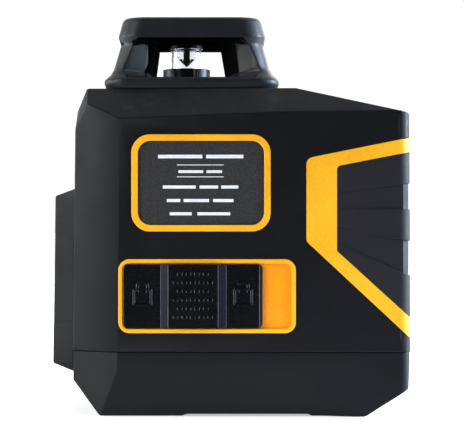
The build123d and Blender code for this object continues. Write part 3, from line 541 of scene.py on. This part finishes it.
recolour("lens_collar", "slot_painted_highlight", in_collar_slot)
recolour("lock_frame", "lock_tray", in_lock_tray)
recolour("head_cage", "cage_painted_shade", in_lens_well)
recolour("lock_slider", "switch_plastic", faces_up_or_down)
recolour("lock_slider", "switch_facet_highlight", on_slider_facet)

# ---- the dark stem inside the clear cone: a painted reflection of the cone's dark middle ----
STEM_STEPS = 24
STEM_CREASE_DEG = 30
cone_low, cone_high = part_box("cone_mirror")
CONE_TALL = (cone_high - cone_low).z / MM
# radius and height over the cone's tip, in mm
STEM_PROFILE = ((0.1, 0.3), (1.15, 1.5), (1.5, 2.2), (1.1, 3.0), (1.1, CONE_TALL - 0.1))


def make_dark_reflection_stem(profile):
    """A turned pin on the axis of the cone, which stands in for the dark reflection in the cone's
    middle: a painted reflection.
    """
    axis = (cone_low + cone_high) / 2
    grid = bmesh.new()
    rings = []
    for radius, height in profile:
        ring = []
        for i in range(STEM_STEPS):
            turn = 2 * math.pi * i / STEM_STEPS
            across = Vector((math.cos(turn), math.sin(turn), 0)) * radius * MM
            place = (axis.x + across.x, axis.y + across.y, cone_low.z + height * MM)
            ring.append(grid.verts.new(place))
        rings.append(ring)
    for lower, upper in zip(rings, rings[1:]):
        for i in range(STEM_STEPS):
            j = (i + 1) % STEM_STEPS
            grid.faces.new((lower[i], lower[j], upper[j], upper[i]))
    grid.faces.new(list(reversed(rings[0])))
    grid.faces.new(rings[-1])
    slot = "black_aluminium"
    piece = new_piece("dark_reflection_stem", grid, FINISH[slot], BODY_OF["cone_mirror"])
    smooth(piece.data, STEM_CREASE_DEG)


make_dark_reflection_stem(STEM_PROFILE)

# ---- printed marks: thin skins of ink ------------------------------------------------------
INK = 0.03  # thickness, mm


def skin(name, body, outlines, to_world):
    """White printed shapes from closed 2-D outlines (mm), placed by to_world(x, y, height)."""
    grid = bmesh.new()
    for outline in outlines:
        low = [grid.verts.new(to_world(x, y, 0.0)) for x, y in outline]
        high = [grid.verts.new(to_world(x, y, INK)) for x, y in outline]
        grid.faces.new(list(reversed(low)))
        grid.faces.new(high)
        for i in range(len(outline)):
            j = (i + 1) % len(outline)
            grid.faces.new((low[i], low[j], high[j], high[i]))
    bmesh.ops.recalc_face_normals(grid, faces=grid.faces)
    new_piece(name, grid, FINISH["white_print"], body)


def bar(x0, x1, z0, z1):
    """A rectangle as a closed outline."""
    return [(x0, z0), (x1, z0), (x1, z1), (x0, z1)]


def on_side(height):
    """Placer for marks lying on a surface at this y, facing -Y."""
    return lambda x, z, lift: Vector((x, height - lift, z)) * MM


BAR_MIDDLE, BAR_HALF = 0.42, 0.26  # as shares of the letter height


def word_bar(start, end, foot, tall):
    """Greeked word: one plain bar where the printed word stands."""
    middle, half = foot + tall * BAR_MIDDLE, tall * BAR_HALF
    return bar(start, end, middle - half, middle + half)


# words as (start, end) on each row, with the row's foot and letter height
LABEL_ROWS = (
    (((-24.6, -9.9), (-8.6, 3.8)), 85.7, 2.3),
    (((-17.8, -9.6), (-8.5, -3.3)), 80.9, 1.8),
    (((-23.0, -12.1), (-10.8, -4.6), (-3.6, 2.1)), 75.7, 2.0),
    (((-21.7, -17.2), (-16.1, -7.6), (-6.3, 0.5)), 71.2, 2.0),
    (((-20.7, -13.4), (-11.5, -0.6)), 66.8, 2.0),
)
LABEL_RULES = (bar(-18.3, -2.8, 83.75, 84.0), bar(-18.3, -2.8, 79.8, 80.05))

marks = list(LABEL_RULES)
for words, foot, tall in LABEL_ROWS:
    marks += [word_bar(start, end, foot, tall) for start, end in words]
plate_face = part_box("label_plate")[0].y / MM
skin("label_print", "housing", marks, on_side(plate_face))

# ---- keypad marks --------------------------------------------------------------------------


def arc(radius, width, start, end, steps=20):
    """Band along an arc about the key's middle, as one closed outline. Angles are degrees."""
    angles = [math.radians(start + (end - start) * i / steps) for i in range(steps + 1)]
    outer, inner = radius + width / 2, radius - width / 2
    there = [(outer * math.cos(angle), outer * math.sin(angle)) for angle in angles]
    back = [(inner * math.cos(angle), inner * math.sin(angle)) for angle in reversed(angles)]
    return there + back


TOP_SKIN = 0.2  # vertices this near the highest one belong to a key's top


def on_key(node):
    """Placer for marks on a key's sloped top, measured from the middle of that top."""
    low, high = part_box(node)
    middle = (low + high) / 2
    slope = math.radians(SLOPE_DEG)
    along = Vector((math.cos(slope), 0, -math.sin(slope)))
    normal = Vector((math.sin(slope), 0, math.cos(slope)))
    offsets = [vertex.co - middle for vertex in NODES[node].data.vertices]
    top = max(offset.dot(normal) for offset in offsets)
    on_top = [offset.dot(along) for offset in offsets if offset.dot(normal) > top - TOP_SKIN * MM]
    start = middle + along * (sum(on_top) / len(on_top)) + normal * top
    return lambda x, y, lift: start + (along * x + Vector((0, y, 0)) + normal * lift) * MM


KEY_MARKS = {
    "line_key": [bar(-2.4, 2.4, -0.22, 0.22), arc(1.1, 0.35, 200, 340), arc(1.1, 0.35, 20, 160)],
    "circle_key": [arc(2.2, 0.42, 0, 350, 40), bar(-0.5, 0.5, -0.5, 0.5)],
    "pulse_key": [
        bar(-1.0, 1.0, -2.6, -2.2), bar(0.6, 1.0, -2.2, -0.9), bar(-1.0, 1.0, -0.9, -0.5),
        bar(-1.0, -0.6, -0.5, 0.8), bar(-1.0, 1.0, 0.8, 1.2), bar(0.6, 1.0, 1.2, 2.5),
    ],
}
for node, outlines in KEY_MARKS.items():
    skin(node + "_mark", BODY_OF[node], outlines, on_key(node))

# ---- camera --------------------------------------------------------------------------------
CAMERA_AT = (0, -0.550, 0.0664)  # about level with the middle of the object

camera_data = bpy.data.cameras.new("camera")
camera_data.lens = 120
camera_data.sensor_width = 36
camera = bpy.data.objects.new("camera", camera_data)
bpy.context.collection.objects.link(camera)
camera.location = CAMERA_AT
camera.rotation_euler = (math.radians(90), 0, 0)
bpy.context.scene.camera = camera
bpy.context.scene.view_settings.view_transform = "Standard"


# ---- studio --------------------------------------------------------------------------------
LIGHTS_AIM_Z = 0.06
SKY_TURN = (-0.1, 0.8)  # directions, as their Y part, between which the sky goes from dim to bright
SKY_STRENGTH = (0.07, 1.05)
FLOOR_HALF = 4.0
FLOOR_FADE = (-0.22, -0.08)  # places along Y between which the floor goes from dim to pale
FLOOR_GLOW = (0.45, 0.68)  # beside the object, and from GLOW_FAR on behind it
GLOW_FAR = 0.5


def softbox(name, azimuth, height, distance, size, power, colour=(1, 1, 1)):
    """Light that faces the object, azimuth in degrees from -Y towards +X."""
    data = bpy.data.lights.new(name, "AREA")
    data.shape = "RECTANGLE"
    data.size, data.size_y = size
    data.energy = power
    data.color = colour
    lamp = bpy.data.objects.new(name, data)
    bpy.context.collection.objects.link(lamp)
    turn = math.radians(azimuth)
    lamp.location = (distance * math.sin(turn), -distance * math.cos(turn), height)
    direction = Vector((0, 0, LIGHTS_AIM_Z)) - lamp.location
    lamp.rotation_euler = direction.to_track_quat("-Z", "Y").to_euler()


def make_world():
    """Light sky behind the object, dim room behind the camera."""
    world = bpy.data.worlds.new("studio")
    bpy.context.scene.world = world
    world.use_nodes = True
    tree = world.node_tree
    place = tree.nodes.new("ShaderNodeTexCoord")
    split = tree.nodes.new("ShaderNodeSeparateXYZ")
    spread = tree.nodes.new("ShaderNodeMapRange")
    tree.links.new(place.outputs["Generated"], split.inputs["Vector"])
    tree.links.new(split.outputs["Y"], spread.inputs["Value"])
    ends = ("From Min", "From Max", "To Min", "To Max")
    for socket, value in zip(ends, SKY_TURN + SKY_STRENGTH):
        spread.inputs[socket].default_value = value
    background = tree.nodes["Background"]
    background.inputs["Color"].default_value = (1, 1, 1, 1)
    tree.links.new(spread.outputs["Result"], background.inputs["Strength"])


def make_floor():
    """Pale paper floor. Its far front is dim, so that the black side face doesn't mirror white."""
    corners = [(-FLOOR_HALF, -FLOOR_HALF, 0), (FLOOR_HALF, -FLOOR_HALF, 0)]
    corners += [(FLOOR_HALF, FLOOR_HALF, 0), (-FLOOR_HALF, FLOOR_HALF, 0)]
    mesh = bpy.data.meshes.new("floor")
    mesh.from_pydata(corners, [], [(0, 1, 2, 3)])
    floor = bpy.data.objects.new("floor", mesh)
    bpy.context.collection.objects.link(floor)
    finish = Finish("floor_paint", roughness=0.75, specular=0.2)
    depth = finish.node("SeparateXYZ", {"Vector": finish.place}).outputs["Y"]
    behind = finish.spread(depth, *FLOOR_FADE)
    paper = finish.mix(finish.noise(60, 3), (0.88, 0.88, 0.88), (0.92, 0.92, 0.92))
    finish.colour(finish.mix(behind, (0.25, 0.25, 0.25), paper))
    finish.set(emission_color=(1, 1, 1, 1))
    glow = finish.maths("MULTIPLY", behind, finish.spread(depth, 0.0, GLOW_FAR, *FLOOR_GLOW))
    finish.tree.links.new(glow, finish.shader.inputs["Emission Strength"])
    floor.data.materials.append(finish.material)


make_world()
make_floor()
softbox("left_softbox", -55, 0.34, 1.0, (0.4, 0.8), 9.5)
softbox("left_edge", -96, 0.16, 1.0, (0.4, 0.8), 9, (0.93, 1.0, 1.0))
softbox("right_softbox", 66, 0.38, 1.0, (0.3, 0.8), 7, (0.66, 0.79, 1.0))
softbox("right_edge", 98, 0.24, 1.0, (0.3, 0.8), 36, (0.68, 0.79, 1.0))
softbox("top_softbox", 180, 1.1, 0.15, (1.0, 0.8), 3)
softbox("rear_softbox", 150, 0.5, 1.2, (0.5, 0.7), 5)
